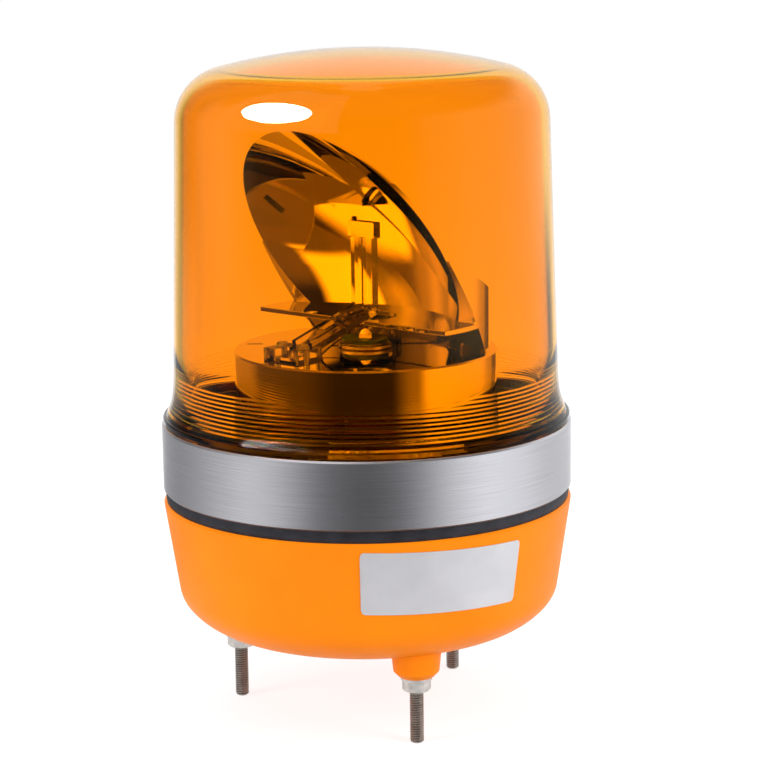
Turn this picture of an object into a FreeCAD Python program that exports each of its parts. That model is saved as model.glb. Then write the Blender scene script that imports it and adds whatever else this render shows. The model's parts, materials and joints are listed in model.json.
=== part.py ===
import FreeCAD, Part
import math
import os
from FreeCAD import Vector

# Rotating beacon, millimetres, +Z up.
# The origin is the centre of the stud circle, in the plane of the nuts' lower faces, where a panel seats.
# The rotor (drum, reflector and light guide) turns on a fixed hollow spindle under a twist-lock globe.

# ---- Studs, washers and nuts (M4) ----
stud_r = 2.0
stud_pcd = 78.0
stud_count = 3
stud_angle = 19.75          # first stud, degrees from -Y towards +X
stud_free = 15.3            # length below the nuts
stud_grip = 14.0            # length held in the boss
stud_tip = 0.6              # rounding of the free end
stud_swell = 0.02           # radial, the stretch in the nut and the boss is this much fuller
nut_af = 7.0
nut_h = 3.2
nut_chamfer = 0.35
washer_r = 4.4
washer_t = 1.0
bolt_play = 0.15            # radial, washer on stud

# ---- Body: the band and the base are flush ----
body_r = 59.0

# ---- Base housing ----
boss_face_r = 5.0
boss_shoulder_r = 6.5
boss_chamfer_h = 1.6
boss_r = 7.0
boss_h = 6.3                # foot below the floor
boss_cap = 3.0              # material above the stud's end
floor_t = 3.0
base_h = 37.6
base_taper = 3.85           # how far the side runs in, down to the corner
corner_w = 16.8
corner_h = 11.4
corner_r = 9.0              # tight end of the corner, beside the wall
rim_edge = 0.7
wall_t = 2.6
rim_land = 4.0              # width of the rim that carries the gasket
floor_rib_count = 9
floor_rib_t = 1.6
floor_rib_h = 3.5
floor_rib_start = 10.5
floor_rib_end = 31.0
pillar_count = 3
pillar_r = 4.0
pillar_inset = 10.0         # pillar's axis inside the chassis's edge
pillar_angle = 60.0         # after the first stud

# ---- Gasket, trim ring ----
gasket_t = 3.3
gasket_inset = 0.6
gasket_bulge = 0.35
ring_h = 19.3
ring_wall = 1.8
ring_flange_t = 1.4
ring_edge = 0.5

# ---- Chassis and twist lock ----
chassis_drop = 2.1          # plate's underside below the base's rim
chassis_t = 2.5
chassis_play = 0.3          # radial, plate in the base's rim
collar_wall = 1.8
collar_h = 19.5
lock_play = 0.4             # radial, globe on collar
lock_lift = 0.3             # axial, lug under track
lug_count = 3
lug_h = 3.0
lug_deg = 16.0
track_h = 2.4
track_deg = 25.0
track_reach = 1.6
twist_deg = 30.0            # turn that frees the globe
stop_deg = 3.0
stop_gap_deg = 0.4
stop_drop = 0.5             # how far a stop reaches below the lug
lug_angle = 90.0

# ---- Globe ----
globe_h = 105.9
globe_wall = 2.4
crown_r = 169.7
shoulder_r = 15.9
globe_taper = 2.2           # the wall leans in by this from the flare to the shoulder
flare_out = 2.5             # the flare runs out by this
flare_h = 15.0
flare_bend = 0.32           # share of flare_out reached at half height
flare_inset = 1.2           # flare's foot inside the band
lip_inset = 0.4             # lip inside the band
lip_h = 2.2
lip_edge = 0.35
spigot_h = 8.6
spigot_wall = 2.2
spigot_play = 0.5           # radial, spigot in the trim ring

# ---- Rotor drum ----
drum_r = 38.0
drum_wall = 1.6
drum_top_t = 2.0
drum_h = 23.5
drum_lift = 20.5            # drum's top above the trim ring
drum_edge = 0.5
hub_r = 9.2
slot_w = 1.2
slot_l = 4.5
slot_circle_r = 33.0
slot_angle = 168.0

# ---- Spindle, bush and clip ----
spindle_r = 5.0
spindle_bore_r = 3.0
spindle_flange_r = 12.0
spindle_flange_t = 2.2
shoulder_step = 1.8
bush_r = 7.2
run_fit = 0.05              # radial, every shaft in its bore
bush_h = 29.0
bush_flange_t = 1.4
clip_r = 7.6
clip_t = 0.8
clip_gap = 0.3
clip_mouth = 2.4
clip_angle = 200.0
spindle_over = 1.6          # spindle above the drum's top

# ---- Gears ----
gear_module = 0.8
drum_teeth = 56
idler_small_teeth = 14
idler_big_teeth = 36
pinion_teeth = 14
pressure_angle = 20.0
addendum = 0.8              # times the module
dedendum = 1.15
backlash = 0.16
drum_gear_t = 5.0
drum_gear_gap = 3.0         # above the idler's big gear
idler_big_t = 4.0
idler_lift = 6.5            # big gear above the chassis
web_hole_r = 4.0
web_hole_count = 6
idler_axle_r = 1.5
axle_head_r = 2.4
axle_head_t = 0.8
axle_boss_r = 3.6
axle_gap = 0.3              # idler above its boss and below the pin's head
pinion_t = 5.0
pinion_overlap = 0.5        # pinion past each face of the idler's big gear

# ---- Motor ----
motor_r = 12.0
motor_h = 25.0
motor_nose_r = 3.0
motor_nose_h = 1.5
motor_shaft_r = 1.0
motor_shaft_end = 0.8       # shaft above the pinion
shaft_gap = 0.3             # below the shaft's inner end
motor_edge = 1.5
motor_tag_reach = 4.0
motor_angle = -100.0
motor_screw_circle_r = 8.0
tag_w = 2.2
tag_h = 3.0
tag_t = 0.5

# ---- Screws (shank radius, head radius, head height, shank length) ----
chassis_screw = (1.5, 2.8, 2.0, 10.0)
motor_screw = (1.0, 1.9, 1.2, 4.6)
reflector_screw = (1.0, 2.0, 1.3, 4.0)
guide_screw = (1.0, 1.8, 1.2, 5.6)
board_screw = (1.0, 2.0, 1.4, 5.6)

# ---- Reflector, in the rotor's own axes: +X is the beam, +Z is up ----
beam_angle = -131.3
focal = 18.5
focus_lift = 4.5            # parabola's axis above the drum's top
shell_back = 2.0            # thickness along the beam
mirror_start = 1.0          # the curve starts this far off the vertex
mirror_spans = 9
reflector_r = 36.0
reflector_h = 64.1
rim_foot = -13.5            # where the rim's plane meets the drum's top
ledge_lift = 7.8
ledge_t = 1.4
ledge_front = 7.0
skirt_t = 1.4
skirt_back = 9.2            # height of the skirt behind
skirt_rise = 0.45           # how it rises towards the beam, per unit of length
flange_t = 1.6              # rim flange between the mirror's edge and the skirt, along the beam
lamp_hole_r = 9.0
foot_w = 7.0
foot_depth = 8.0
foot_t = 1.8
foot_spread = 58.0          # degrees between the feet

# ---- Light guide ----
guide_foot = (9.5, 13.0, 4.2)
guide_foot_front = 35.0
guide_screw_reach = 3.9     # screws each side of the foot's middle
guide_arm_w = 7.5
guide_arm_t = 1.6
guide_rib_t = 1.4
guide_rib_h = 3.2
post_foot_lift = 9.8        # foot of the post above the drum's top
post_h = 26.5
post_bar = 2.9
post_gap = 1.9
post_web = 0.9
head_w = 9.8
head_h = 4.6
head_knob_r = 1.25

# ---- Lamp ----
lamp_board_r = 6.6
lamp_board_t = 1.2
led_side = 3.5
led_t = 1.0
led_dome_r = 1.5

# ---- Electronics and cable entry ----
board_size = (44.0, 24.0, 1.6)
board_gap = 1.4             # board to the pillar beside it
board_lift = 8.5            # above the floor
board_inset = 3.2
standoff_r = 2.6
terminal_size = (15.0, 8.0, 9.0)
terminal_gap = 0.3          # block to the screw head beside it
terminal_inset = 1.5        # block to the board's inner edge
terminal_ways = 3
terminal_hole_r = 1.6
terminal_hole_lift = 3.0
capacitor_r = 4.0
capacitor_h = 11.0
capacitor_gap = 4.5         # can to the terminal block
capacitor_edge = 0.5
cable_r = 4.0
grommet_r = 9.0
grommet_neck_r = 6.6
grommet_flange_t = 1.5
grommet_edge = 0.6

# ---- Modelling ----
sink = 0.5                  # a boss or rib starts this far inside the wall that carries it
over = 1.0                  # a cutter runs this far past the face it leaves by
far = 90.0                  # past everything

# ---- Heights and radii that follow ----
boss_z = washer_t + nut_h
floor_z = boss_z + boss_h
base_top_z = floor_z + base_h
ring_z = base_top_z + gasket_t
globe_z = ring_z + ring_h
base_low_r = body_r - base_taper
lip_r = body_r - lip_inset
flare_r = body_r - flare_inset
globe_low_r = flare_r - flare_out
globe_top_r = globe_low_r - globe_taper
chassis_z = base_top_z - chassis_drop
chassis_top_z = chassis_z + chassis_t
rim_inner_r = body_r - rim_edge - rim_land
chassis_r = rim_inner_r - chassis_play
pillar_circle_r = chassis_r - pillar_inset
spigot_r = body_r - ring_wall - spigot_play
spigot_inner_r = spigot_r - spigot_wall
track_r = spigot_inner_r - lock_play
collar_r = track_r - track_reach
collar_top_z = chassis_top_z + collar_h
drum_top_z = globe_z + drum_lift
bush_z = drum_top_z - bush_h
spindle_top_z = drum_top_z + spindle_over
stud_circle_r = stud_pcd / 2
drum_gear_r = gear_module * drum_teeth / 2
idler_small_r = gear_module * idler_small_teeth / 2
idler_big_r = gear_module * idler_big_teeth / 2
pinion_r = gear_module * pinion_teeth / 2
idler_circle_r = drum_gear_r + idler_small_r
motor_reach = idler_big_r + pinion_r
idler_turn = 2 * math.degrees(math.asin(motor_reach / (2 * idler_circle_r)))
idler_angle = motor_angle + idler_turn
idler_z = chassis_top_z + idler_lift
drum_gear_z = idler_z + idler_big_t + drum_gear_gap
rim_tip = (reflector_h - focus_lift) ** 2 / (4 * focal) - focal
rim_lean = (rim_tip - rim_foot) / reflector_h
skirt_top = skirt_back + skirt_rise * 2 * (reflector_r + over)
pillar_start = stud_angle - 90 + pillar_angle
pillar_step = 360.0 / pillar_count
board_z = floor_z + floor_t + board_lift
board_top_z = board_z + board_size[2]
board_y = (pillar_circle_r * math.sin(math.radians(pillar_start + pillar_step))
           - pillar_r - board_gap - board_size[1] / 2)
terminal_x = board_inset + board_screw[1] + terminal_gap + (terminal_size[0] - board_size[0]) / 2
terminal_y = board_y + terminal_inset + (terminal_size[1] - board_size[1]) / 2
capacitor_x = terminal_x + terminal_size[0] / 2 + capacitor_gap + capacitor_r

ORIGIN = Vector(0, 0, 0)
UP = Vector(0, 0, 1)


# ---- Helpers ----
def polar(radius, degrees, z=0.0):
    angle = math.radians(degrees)
    return Vector(radius * math.cos(angle), radius * math.sin(angle), z)


def cylinder(radius, height, at=ORIGIN, degrees=360.0):
    return Part.makeCylinder(radius, height, at, UP, degrees)


def tube(outer, inner, height, at=ORIGIN):
    return cylinder(outer, height, at).cut(cylinder(inner, height, at))


def turned(points):
    """Solid of revolution about Z from (radius, height) points."""
    corners = [Vector(r, 0, z) for r, z in points]
    face = Part.Face(Part.makePolygon(corners + corners[:1]))
    return face.revolve(ORIGIN, UP, 360)


def turned_wire(edges):
    return Part.Face(Part.Wire(edges)).revolve(ORIGIN, UP, 360)


def line(a, b):
    return Part.makeLine(Vector(a[0], 0, a[1]), Vector(b[0], 0, b[1]))


def arc(a, mid, b):
    ends = [Vector(p[0], 0, p[1]) for p in (a, mid, b)]
    return Part.Arc(*ends).toShape()


def box(low, high):
    size = high.sub(low)
    return Part.makeBox(size.x, size.y, size.z, low)


def moved(shape, place):
    copy = shape.copy()
    copy.translate(place)
    return copy


def spun(shape, degrees):
    copy = shape.copy()
    copy.rotate(ORIGIN, UP, degrees)
    return copy


def fused(shapes):
    first = shapes[0]
    return first.fuse(shapes[1:]).removeSplitter()


def sector(outer, inner, height, z, start, width):
    """Piece of a ring from angle start over width degrees."""
    at = Vector(0, 0, z)
    piece = cylinder(outer, height, at, width).cut(cylinder(inner, height, at))
    return spun(piece, start)


def screw(sizes, seat):
    """Pan-head screw, head up, its head seated at the point given."""
    shank_r, head_r, head_h, length = sizes
    edge = head_h / 3
    outline = [(0, -length), (shank_r * 0.6, -length), (shank_r, -length + shank_r * 0.6), (shank_r, 0),
               (head_r, 0), (head_r, head_h - edge), (head_r - edge, head_h), (0, head_h)]
    slot = box(Vector(-head_r, -head_h / 5, head_h / 2), Vector(head_r, head_h / 5, head_h))
    return moved(turned(outline).cut(slot), seat)


def gear(teeth, thickness, z, phase):
    """Solid spur gear about Z. phase is the angle of one tooth's centre, in degrees."""
    pitch_r = gear_module * teeth / 2
    alpha = math.radians(pressure_angle)
    base_circle = pitch_r * math.cos(alpha)
    tip_r = pitch_r + addendum * gear_module
    root_r = pitch_r - dedendum * gear_module
    half_pitch = math.pi / (2 * teeth) - backlash / (2 * pitch_r)

    def half_tooth(radius):
        angle = math.acos(min(1.0, base_circle / radius))
        return half_pitch + (math.tan(alpha) - alpha) - (math.tan(angle) - angle)

    radii = [root_r, max(base_circle, root_r + 0.05), pitch_r, tip_r]
    flank = [(radius, half_tooth(max(radius, base_circle))) for radius in radii]
    outline = []
    for index in range(teeth):
        middle = math.radians(phase) + 2 * math.pi * index / teeth
        sides = [(r, middle - a) for r, a in flank] + [(r, middle + a) for r, a in reversed(flank)]
        outline += [Vector(r * math.cos(a), r * math.sin(a), z) for r, a in sides]
    face = Part.Face(Part.makePolygon(outline + outline[:1]))
    return face.extrude(Vector(0, 0, thickness))


# ---- Studs and their hardware ----
def stud_places():
    step = 360.0 / stud_count
    return [polar(stud_circle_r, stud_angle - 90 + step * i) for i in range(stud_count)]


def mounting_studs():
    top = boss_z + stud_grip
    full_r = stud_r + stud_swell
    outline = [(0, -stud_free), (stud_r - stud_tip, -stud_free), (stud_r, -stud_free + stud_tip),
               (stud_r, 0), (full_r, 0), (full_r, top), (0, top)]
    return Part.makeCompound([moved(turned(outline), place) for place in stud_places()])


def stud_washers():
    ring = tube(washer_r, stud_r + bolt_play, washer_t, Vector(0, 0, nut_h))
    return Part.makeCompound([moved(ring, place) for place in stud_places()])


def hex_prism(across_flats, height):
    corner_r = across_flats / math.sqrt(3)
    corners = [polar(corner_r, 60 * i) for i in range(6)]
    return Part.Face(Part.makePolygon(corners + corners[:1])).extrude(Vector(0, 0, height))


def stud_nuts():
    corner_r = nut_af / math.sqrt(3)
    flat_r = nut_af / 2
    limits = turned([(0, 0), (flat_r, 0), (corner_r, nut_chamfer), (corner_r, nut_h - nut_chamfer),
                     (flat_r, nut_h), (0, nut_h)])
    nut = hex_prism(nut_af, nut_h).common(limits).cut(cylinder(stud_r + run_fit, nut_h))
    return Part.makeCompound([moved(nut, place) for place in stud_places()])


# ---- Base housing ----
def bowl(inset):
    """Outer form of the base, or its inside when inset by the wall."""
    floor = floor_z + (floor_t if inset else 0)
    turn_z = floor_z + corner_h
    edge_z = base_top_z - rim_edge
    start = (base_low_r - inset, turn_z)
    lean = math.atan2(base_taper, edge_z - turn_z)
    tight_r = corner_r - inset
    tight = (start[0] - tight_r * math.cos(lean), turn_z + tight_r * math.sin(lean))
    flat_x = base_low_r - corner_w
    rise = tight[1] - floor
    wide_r = ((tight[0] - flat_x) ** 2 + rise ** 2 - tight_r ** 2) / (2 * (rise - tight_r))
    join_angle = math.atan2(tight[1] - floor - wide_r, tight[0] - flat_x)

    def on_arc(centre, radius, angle):
        return (centre[0] + radius * math.cos(angle), centre[1] + radius * math.sin(angle))

    wide = (flat_x, floor + wide_r)
    join = on_arc(wide, wide_r, join_angle)
    wide_arc = arc((flat_x, floor), on_arc(wide, wide_r, (join_angle - math.pi / 2) / 2), join)
    tight_arc = arc(join, on_arc(tight, tight_r, (join_angle - lean) / 2), start)
    edge = (body_r - inset, edge_z)
    top = (body_r - rim_edge - inset, base_top_z)
    middle_top = (0, base_top_z)
    return turned_wire([line((0, floor), (flat_x, floor)), wide_arc, tight_arc, line(start, edge),
                        line(edge, top), line(top, middle_top), line(middle_top, (0, floor))])


def boss():
    top = boss_z + stud_grip + boss_cap
    return turned([(0, boss_z), (boss_face_r, boss_z), (boss_shoulder_r, boss_z + boss_chamfer_h),
                   (boss_r, floor_z), (boss_r, top), (0, top)])


def pillar_places(z):
    return [polar(pillar_circle_r, pillar_start + pillar_step * i, z) for i in range(pillar_count)]


def board_corners(z):
    x_reach = board_size[0] / 2 - board_inset
    y_reach = board_size[1] / 2 - board_inset
    return [Vector(sx * x_reach, board_y + sy * y_reach, z)
            for sx in (-1, 1) for sy in (-1, 1)]


def floor_rib(index):
    inside = floor_z + floor_t
    bar = box(Vector(floor_rib_start, -floor_rib_t / 2, inside - sink),
              Vector(floor_rib_end, floor_rib_t / 2, inside + floor_rib_h))
    return spun(bar, 360.0 / floor_rib_count * index)


def base_housing():
    inside_z = floor_z + floor_t
    outer = bowl(0)
    hollow = bowl(wall_t).common(cylinder(body_r, chassis_z - floor_z, Vector(0, 0, floor_z)))
    seat = cylinder(rim_inner_r, base_top_z - chassis_z, Vector(0, 0, chassis_z))
    shell = outer.cut(hollow).cut(seat)
    parts = [shell]
    parts += [moved(boss(), place) for place in stud_places()]
    root_z = inside_z - sink
    parts += [cylinder(pillar_r, chassis_z - root_z, place) for place in pillar_places(root_z)]
    parts += [cylinder(standoff_r, board_lift + sink, place) for place in board_corners(root_z)]
    parts += [floor_rib(i) for i in range(floor_rib_count)]
    body = fused(parts)
    stud_hole = cylinder(stud_r + stud_swell, stud_grip, Vector(0, 0, boss_z))
    holes = [moved(stud_hole, place) for place in stud_places()]
    shank = chassis_screw[0]
    holes += [cylinder(shank, chassis_screw[3], Vector(p.x, p.y, chassis_z - chassis_screw[3] + chassis_t))
              for p in pillar_places(0)]
    depth = board_screw[3] - board_size[2]
    holes += [cylinder(board_screw[0], depth, Vector(p.x, p.y, board_z - depth)) for p in board_corners(0)]
    holes.append(cylinder(grommet_neck_r, floor_t + 2 * over, Vector(0, 0, floor_z - over)))
    return body.cut(Part.makeCompound(holes))


# ---- Gasket and trim ring ----
def gasket():
    outer = body_r - gasket_inset
    inner = rim_inner_r + chassis_play
    flat = outer - gasket_bulge
    middle = (base_top_z + ring_z) / 2
    return turned_wire([line((inner, base_top_z), (flat, base_top_z)),
                        arc((flat, base_top_z), (outer, middle), (flat, ring_z)),
                        line((flat, ring_z), (inner, ring_z)), line((inner, ring_z), (inner, base_top_z))])


def trim_ring():
    inner = body_r - ring_wall
    flange_r = rim_inner_r + chassis_play
    top = globe_z
    return turned([(flange_r, ring_z), (body_r - ring_edge, ring_z), (body_r, ring_z + ring_edge),
                   (body_r, top - ring_edge), (body_r - ring_edge, top), (inner, top),
                   (inner, ring_z + ring_flange_t), (flange_r, ring_z + ring_flange_t)])


# ---- Chassis ----
def motor_place(z):
    return polar(idler_circle_r, motor_angle, z)


def idler_place(z):
    return polar(idler_circle_r, idler_angle, z)


def motor_screw_places(z):
    centre = motor_place(z)
    return [centre + polar(motor_screw_circle_r, motor_angle + 90 + side) for side in (0, 180)]


def lug_start(index):
    return lug_angle + 360.0 / lug_count * index - lug_deg / 2


def track(index):
    """One stretch of the lock's track, with the stops at closed and at open."""
    top = collar_top_z - track_h
    closed_gap = stop_deg + stop_gap_deg
    start = lug_start(index) - closed_gap
    root = collar_r - sink
    ledge = sector(track_r, root, track_h, top, start, track_deg)
    drop = lug_h + lock_lift + stop_drop
    closed = sector(track_r, root, drop + track_h, top - drop, start, stop_deg)
    open_start = lug_start(index) + twist_deg + lug_deg + stop_gap_deg
    opened = sector(track_r, root, drop + track_h, top - drop, open_start, stop_deg)
    return [ledge, closed, opened]


def chassis():
    plate = cylinder(chassis_r, chassis_t, Vector(0, 0, chassis_z))
    collar = tube(collar_r, collar_r - collar_wall, collar_h + sink, Vector(0, 0, chassis_top_z - sink))
    axle_boss = cylinder(axle_boss_r, idler_lift - axle_gap + sink, idler_place(chassis_top_z - sink))
    parts = [plate, collar, axle_boss]
    for index in range(lug_count):
        parts += track(index)
    body = fused(parts)
    through = chassis_t + 2 * over
    below = chassis_z - over
    holes = [cylinder(chassis_screw[0] + bolt_play, through, p) for p in pillar_places(below)]
    holes += [cylinder(motor_screw[0] + bolt_play, through, p) for p in motor_screw_places(below)]
    holes.append(cylinder(motor_nose_r + bolt_play, through, motor_place(below)))
    holes.append(cylinder(idler_axle_r, through + idler_lift, idler_place(below)))
    holes.append(cylinder(spindle_bore_r, through, Vector(0, 0, below)))
    return body.cut(Part.makeCompound(holes))


def chassis_screws():
    return Part.makeCompound([screw(chassis_screw, p) for p in pillar_places(chassis_top_z)])


# ---- Spindle, bush and clip ----
def spindle():
    flange_top = chassis_top_z + spindle_flange_t
    step_r = spindle_r + shoulder_step
    return turned([(spindle_bore_r, chassis_top_z), (spindle_flange_r, chassis_top_z),
                   (spindle_flange_r, flange_top), (step_r, flange_top), (step_r, bush_z),
                   (spindle_r, bush_z), (spindle_r, spindle_top_z), (spindle_bore_r, spindle_top_z)])


def rotor_bush():
    bore = spindle_r + run_fit
    flange_z = bush_z + bush_flange_t
    return turned([(bore, bush_z), (hub_r, bush_z), (hub_r, flange_z), (bush_r, flange_z),
                   (bush_r, drum_top_z), (bore, drum_top_z)])


def retaining_clip():
    at = Vector(0, 0, drum_top_z + clip_gap)
    ring = tube(clip_r, spindle_r, clip_t, at)
    mouth = box(Vector(0, -clip_mouth / 2, at.z), Vector(clip_r + over, clip_mouth / 2, at.z + clip_t))
    return ring.cut(spun(mouth, clip_angle))


# ---- Drum and its gear ----
def reflector_feet():
    """Middle of each foot of the reflector, in the rotor's own axes."""
    reach = reflector_r - foot_depth / 2
    return [polar(reach, 180 + degrees) for degrees in (-foot_spread, 0, foot_spread)]


def guide_screw_places(z):
    middle = guide_foot_front - guide_foot[0] / 2
    return [Vector(middle, side * guide_screw_reach, z) for side in (-1, 1)]


def rotor_drum():
    bottom = drum_top_z - drum_h
    inner = drum_r - drum_wall
    hub_bottom = bush_z + bush_flange_t
    under = drum_top_z - drum_top_t
    body = turned([(bush_r, hub_bottom), (hub_r, hub_bottom), (hub_r, under), (inner, under), (inner, bottom),
                   (drum_r, bottom), (drum_r, drum_top_z - drum_edge), (drum_r - drum_edge, drum_top_z),
                   (bush_r, drum_top_z)])
    through = drum_top_t + 2 * over
    below = under - over
    holes = [cylinder(reflector_screw[0], through, p + Vector(0, 0, below)) for p in reflector_feet()]
    holes += [cylinder(guide_screw[0], through, p) for p in guide_screw_places(below)]
    body = body.cut(spun(Part.makeCompound(holes), beam_angle))
    slot = box(Vector(-slot_l / 2, -slot_w / 2, below), Vector(slot_l / 2, slot_w / 2, drum_top_z + over))
    return body.cut(moved(slot, polar(slot_circle_r, slot_angle)))


def drum_gear():
    phase = idler_angle
    wheel = gear(drum_teeth, drum_gear_t, drum_gear_z, phase)
    hole_circle = (hub_r + drum_gear_r) / 2
    holes = [cylinder(web_hole_r, drum_gear_t, polar(hole_circle, 360.0 / web_hole_count * i, drum_gear_z))
             for i in range(web_hole_count)]
    holes.append(cylinder(hub_r, drum_gear_t, Vector(0, 0, drum_gear_z)))
    return wheel.cut(Part.makeCompound(holes))


# ---- Idler and motor pinion ----
def idler_gear():
    """Compound gear: the big wheel meets the motor pinion, the small one the drum gear."""
    towards_drum = idler_angle + 180
    small_step = 360.0 / idler_small_teeth
    big_step = 360.0 / idler_big_teeth
    centre = idler_place(0)
    to_motor = math.degrees(math.atan2(motor_place(0).y - centre.y, motor_place(0).x - centre.x))
    small_t = drum_gear_z + drum_gear_t - idler_z
    small = gear(idler_small_teeth, small_t, idler_z, towards_drum + small_step / 2)
    big = gear(idler_big_teeth, idler_big_t, idler_z, to_motor + big_step / 2)
    wheel = fused([big, small])
    wheel = wheel.cut(cylinder(idler_axle_r + run_fit, small_t, Vector(0, 0, idler_z)))
    return moved(wheel, centre)


def idler_axle():
    bottom = chassis_z
    top = drum_gear_z + drum_gear_t + axle_gap
    outline = [(0, bottom), (idler_axle_r, bottom), (idler_axle_r, top), (axle_head_r, top),
               (axle_head_r, top + axle_head_t), (0, top + axle_head_t)]
    return moved(turned(outline), idler_place(0))


def motor_pinion():
    centre = motor_place(0)
    away = idler_place(0).sub(centre)
    to_idler = math.degrees(math.atan2(away.y, away.x))
    bottom = idler_z - pinion_overlap
    wheel = gear(pinion_teeth, pinion_t, bottom, to_idler)
    wheel = wheel.cut(cylinder(motor_shaft_r, pinion_t, Vector(0, 0, bottom)))
    return moved(wheel, centre)


def motor_shaft():
    bottom = chassis_z - motor_h / 2
    top = idler_z - pinion_overlap + pinion_t + motor_shaft_end
    return cylinder(motor_shaft_r, top - bottom, motor_place(bottom))


def motor():
    bottom = chassis_z - motor_h
    nose_top = chassis_z + motor_nose_h
    edge = motor_edge
    can = turned([(0, bottom), (motor_r - 2 * edge, bottom), (motor_r - edge, bottom + edge),
                  (motor_r, bottom + 2 * edge), (motor_r, chassis_z - edge / 2),
                  (motor_r - edge / 2, chassis_z), (motor_nose_r, chassis_z),
                  (motor_nose_r, nose_top), (0, nose_top)])
    tag = box(Vector(-tag_w / 2, -tag_t / 2, bottom - tag_h), Vector(tag_w / 2, tag_t / 2, bottom + over))
    tags = [moved(tag, Vector(side * motor_tag_reach, 0, 0)) for side in (-1, 1)]
    body = fused([can] + tags)
    bore_bottom = chassis_z - motor_h / 2 - shaft_gap
    bore = cylinder(motor_shaft_r + run_fit, nose_top - bore_bottom + over, Vector(0, 0, bore_bottom))
    body = moved(body.cut(bore), motor_place(0))
    depth = motor_screw[3] - chassis_t
    holes = [cylinder(motor_screw[0], depth, p) for p in motor_screw_places(chassis_z - depth)]
    return body.cut(Part.makeCompound(holes))


def motor_screws():
    return Part.makeCompound([screw(motor_screw, p) for p in motor_screw_places(chassis_top_z)])


# ---- Reflector ----
def swept_across(corners):
    """Solid from a side outline in the rotor's XZ plane, right across the rotor."""
    outline = [Vector(x, -far, z) for x, z in corners]
    return Part.Face(Part.makePolygon(outline + outline[:1])).extrude(Vector(0, 2 * far, 0))


def behind_rim(back):
    """Everything behind the rim's plane, or behind a plane that lies further back along the beam."""
    foot = rim_foot - back
    run = rim_lean * far
    return swept_across([(-far, -far), (foot - run, -far), (foot + run, far), (-far, far)])


def under_skirt_top():
    """Everything below the skirt's sloping top edge."""
    reach = reflector_r + over
    return swept_across([(-reach, -over), (reach, -over), (reach, skirt_top), (-reach, skirt_back)])


def mirror_curve(back):
    """Half of the mirror's parabola, below its axis, from near the vertex outwards."""
    reach = reflector_h + focal
    step = (reach - mirror_start) / mirror_spans
    heights = [mirror_start + step * i for i in range(mirror_spans + 1)]
    points = [Vector(-focal - back + h * h / (4 * focal), 0, -h) for h in heights]
    curve = Part.BSplineCurve()
    curve.interpolate(points)
    return curve.toShape(), points[0], points[-1]


def turned_about_beam(edges):
    solid = Part.Face(Part.Wire(edges)).revolve(ORIGIN, Vector(1, 0, 0), 360)
    return moved(solid, Vector(0, 0, focus_lift))


def mirror_shell():
    """Paraboloid with its focus on the rotor's axis, as thick as shell_back along the beam."""
    front, front_near, front_far = mirror_curve(0)
    rear, rear_near, rear_far = mirror_curve(shell_back)
    outer_edge = Part.makeLine(front_far, rear_far)
    return turned_about_beam([front, outer_edge, rear, Part.makeLine(rear_near, front_near)])


def mirror_inside():
    """The space in front of the mirror, which the skirt stays out of."""
    edge, near, far = mirror_curve(0)
    centre = Vector(near.x, 0, 0)
    corner = Vector(far.x, 0, 0)
    return turned_about_beam([edge, Part.makeLine(far, corner), Part.makeLine(corner, centre),
                              Part.makeLine(centre, near)])


def reflector_skirt():
    """Wall round the foot of the hood, closed to the mirror's edge by a flange in the rim's plane."""
    wall = tube(reflector_r, reflector_r - skirt_t, skirt_top).common(behind_rim(0)).common(under_skirt_top())
    above_ledge = cylinder(reflector_r + over, skirt_top, Vector(0, 0, ledge_lift))
    wall = wall.cut(mirror_inside().common(above_ledge))
    flange = cylinder(reflector_r, skirt_top).common(behind_rim(0)).cut(behind_rim(flange_t))
    flange = flange.common(under_skirt_top()).cut(mirror_inside())
    return [wall, flange]


def reflector_foot(place):
    half = Vector(foot_depth / 2, foot_w / 2, 0)
    block = box(ORIGIN.sub(half), half + Vector(0, 0, foot_t))
    block.rotate(ORIGIN, UP, math.degrees(math.atan2(place.y, place.x)))
    return moved(block, place).common(cylinder(reflector_r, foot_t))


def reflector():
    envelope = cylinder(reflector_r, reflector_h - ledge_lift, Vector(0, 0, ledge_lift))
    mirror = mirror_shell().common(envelope).common(behind_rim(0))
    ledge = cylinder(reflector_r, ledge_t, Vector(0, 0, ledge_lift))
    ledge = ledge.common(box(Vector(-far, -far, 0), Vector(ledge_front, far, far)))
    ledge = ledge.cut(cylinder(lamp_hole_r, ledge_t, Vector(0, 0, ledge_lift)))
    body = fused([mirror, ledge] + reflector_skirt() + [reflector_foot(p) for p in reflector_feet()])
    hole = cylinder(reflector_screw[0] + bolt_play, foot_t + 2 * over, Vector(0, 0, -over))
    body = body.cut(Part.makeCompound([moved(hole, p) for p in reflector_feet()]))
    return spun(moved(body, Vector(0, 0, drum_top_z)), beam_angle)


def reflector_screws():
    seats = [p + Vector(0, 0, drum_top_z + foot_t) for p in reflector_feet()]
    return spun(Part.makeCompound([screw(reflector_screw, p) for p in seats]), beam_angle)


# ---- Light guide ----
def plank(start, end, thickness, low_y, width):
    """Sloping bar between two points of the rotor's XZ plane."""
    rise = Vector(0, 0, thickness)
    corners = [p + Vector(0, low_y, 0) for p in (start, end, end + rise, start + rise)]
    return Part.Face(Part.makePolygon(corners + corners[:1])).extrude(Vector(0, width, 0))


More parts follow.
